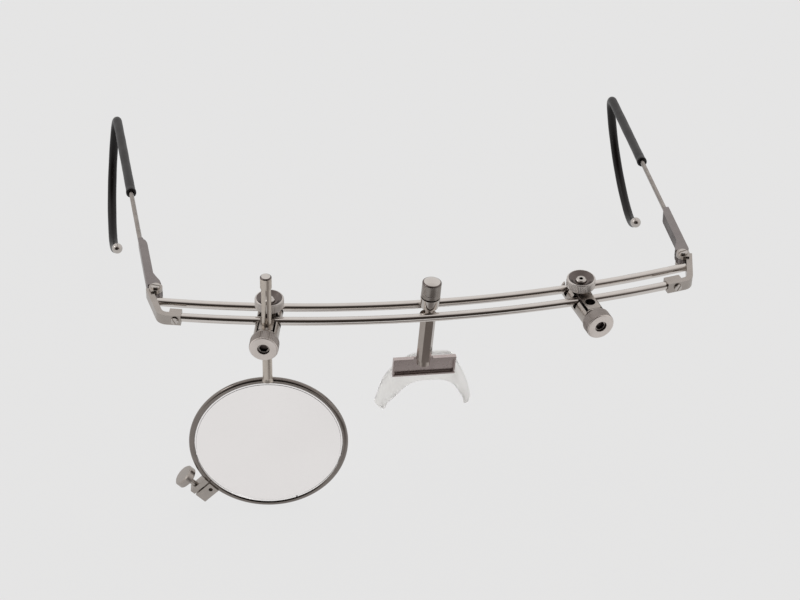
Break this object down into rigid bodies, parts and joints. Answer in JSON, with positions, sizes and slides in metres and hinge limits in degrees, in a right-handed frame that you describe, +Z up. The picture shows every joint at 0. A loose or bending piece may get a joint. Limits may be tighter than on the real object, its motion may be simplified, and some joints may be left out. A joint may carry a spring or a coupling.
{
  "type": "shooting glasses",
  "caption": "Adjustable shooting glasses: a curved twin-rod rail with sliding clamp carriages, a round lens on a stem, a nose saddle and folding temples with curled ear hooks.",
  "frame": {"origin": "middle between the two rail rods at the centre of their curve, where the nose piece is clamped", "axes": "+X towards the wearer's left along the rail, +Y backwards along the temples, +Z up; the rods lie level in the XY plane"},
  "size_m": [0.1758, 0.1506, 0.0804],
  "materials": {
    "polished_steel": "polished",
    "bright_steel": "polished",
    "plated_steel": "satin",
    "wound_wire": "wound",
    "black_sleeve": "matte",
    "clear_glass": "clear",
    "clear_silicone": "clear"
  },
  "bodies": {
    "frame": {"front_rod": "polished_steel", "rear_rod": "polished_steel", "right_end_piece": "plated_steel", "left_end_piece": "plated_steel", "right_rod_screw": "bright_steel", "left_rod_screw": "bright_steel", "right_hinge_screw": "bright_steel", "left_hinge_screw": "bright_steel"},
    "right_temple": {"right_temple_bar": "plated_steel", "right_cable": "wound_wire", "right_sleeve": "black_sleeve", "right_tip_ball": "bright_steel"},
    "left_temple": {"left_temple_bar": "plated_steel", "left_cable": "wound_wire", "left_sleeve": "black_sleeve", "left_tip_ball": "bright_steel"},
    "right_carriage": {"right_rail_stud": "bright_steel", "right_carriage_body": "plated_steel", "right_jaw": "plated_steel"},
    "left_carriage": {"left_rail_stud": "bright_steel", "left_carriage_body": "plated_steel", "left_jaw": "plated_steel"},
    "right_rail_clamp": {"right_rail_knob": "plated_steel"},
    "left_rail_clamp": {"left_rail_knob": "plated_steel"},
    "right_stem_clamp": {"right_stem_knob": "plated_steel", "right_stem_screw": "bright_steel"},
    "left_stem_clamp": {"left_stem_knob": "plated_steel", "left_stem_screw": "bright_steel"},
    "stem_top": {"stem_cap": "bright_steel"},
    "lens_holder": {"lens_stem": "plated_steel", "lens_ring": "plated_steel", "ring_block_upper": "plated_steel", "ring_block_lower": "plated_steel", "lens": "clear_glass"},
    "ring_clamp": {"thumb_screw": "plated_steel"},
    "nose_piece": {"nose_cup": "bright_steel", "nose_post": "plated_steel", "nose_plate": "plated_steel", "nose_pad": "clear_silicone"},
    "nose_clamp": {"nose_nut": "bright_steel"}
  },
  "joints": [
    {"name": "right_temple_fold", "type": "hinge", "parent": "frame", "child": "right_temple", "pos_m": [-0.07476, 0.01598, 0], "axis": [0, 0, 1], "range_deg": [-85, 0]},
    {"name": "left_temple_fold", "type": "hinge", "parent": "frame", "child": "left_temple", "pos_m": [0.07603, 0.01626, 0], "axis": [0, 0, 1], "range_deg": [0, 85]},
    {"name": "right_carriage_slide", "type": "hinge", "parent": "frame", "child": "right_carriage", "pos_m": [0, 0.32293, 0], "axis": [0, 0, 1], "range_deg": [-2.1, 1.2]},
    {"name": "left_carriage_slide", "type": "hinge", "parent": "frame", "child": "left_carriage", "pos_m": [0, 0.32293, 0], "axis": [0, 0, 1], "range_deg": [-3, 2.1]},
    {"name": "nose_piece_slide", "type": "hinge", "parent": "frame", "child": "nose_piece", "pos_m": [0, 0.32293, 0], "axis": [0, 0, 1], "range_deg": [-1.2, 1.2]},
    {"name": "right_rail_knob_turn", "type": "hinge", "parent": "right_carriage", "child": "right_rail_clamp", "pos_m": [-0.04411, 0.00303, 0.00285], "axis": [0, 0, 1], "range_deg": [-180, 180]},
    {"name": "left_rail_knob_turn", "type": "hinge", "parent": "left_carriage", "child": "left_rail_clamp", "pos_m": [0.04327, 0.00291, 0.00285], "axis": [0, 0, 1], "range_deg": [-180, 180]},
    {"name": "right_stem_knob_turn", "type": "hinge", "parent": "right_carriage", "child": "right_stem_clamp", "pos_m": [-0.04624, -0.00715, -0.0012], "axis": [-0.2054, -0.9787, 0], "range_deg": [-180, 180]},
    {"name": "left_stem_knob_turn", "type": "hinge", "parent": "left_carriage", "child": "left_stem_clamp", "pos_m": [0.04566, -0.00721, -0.0012], "axis": [0.23, -0.9732, 0], "range_deg": [-180, 180]},
    {"name": "lens_height", "type": "slide", "parent": "right_carriage", "child": "stem_top", "axis": [0, 0, 1], "range_m": [-0.009, 0.009]},
    {"name": "lens_turn", "type": "hinge", "parent": "stem_top", "child": "lens_holder", "pos_m": [-0.04546, -0.00341, 0.018], "axis": [0, 0, 1], "range_deg": [-35, 35]},
    {"name": "ring_thumb_screw_turn", "type": "hinge", "parent": "lens_holder", "child": "ring_clamp", "pos_m": [-0.06883, -0.00362, -0.05274], "axis": [-0.6993, 0.1157, 0.7054], "range_deg": [-180, 180]},
    {"name": "nose_nut_turn", "type": "hinge", "parent": "nose_piece", "child": "nose_clamp", "pos_m": [0.00057, 0.00004, 0.00968], "axis": [0.0592, 0.0036, 0.9982], "range_deg": [-180, 180]}
  ]
}
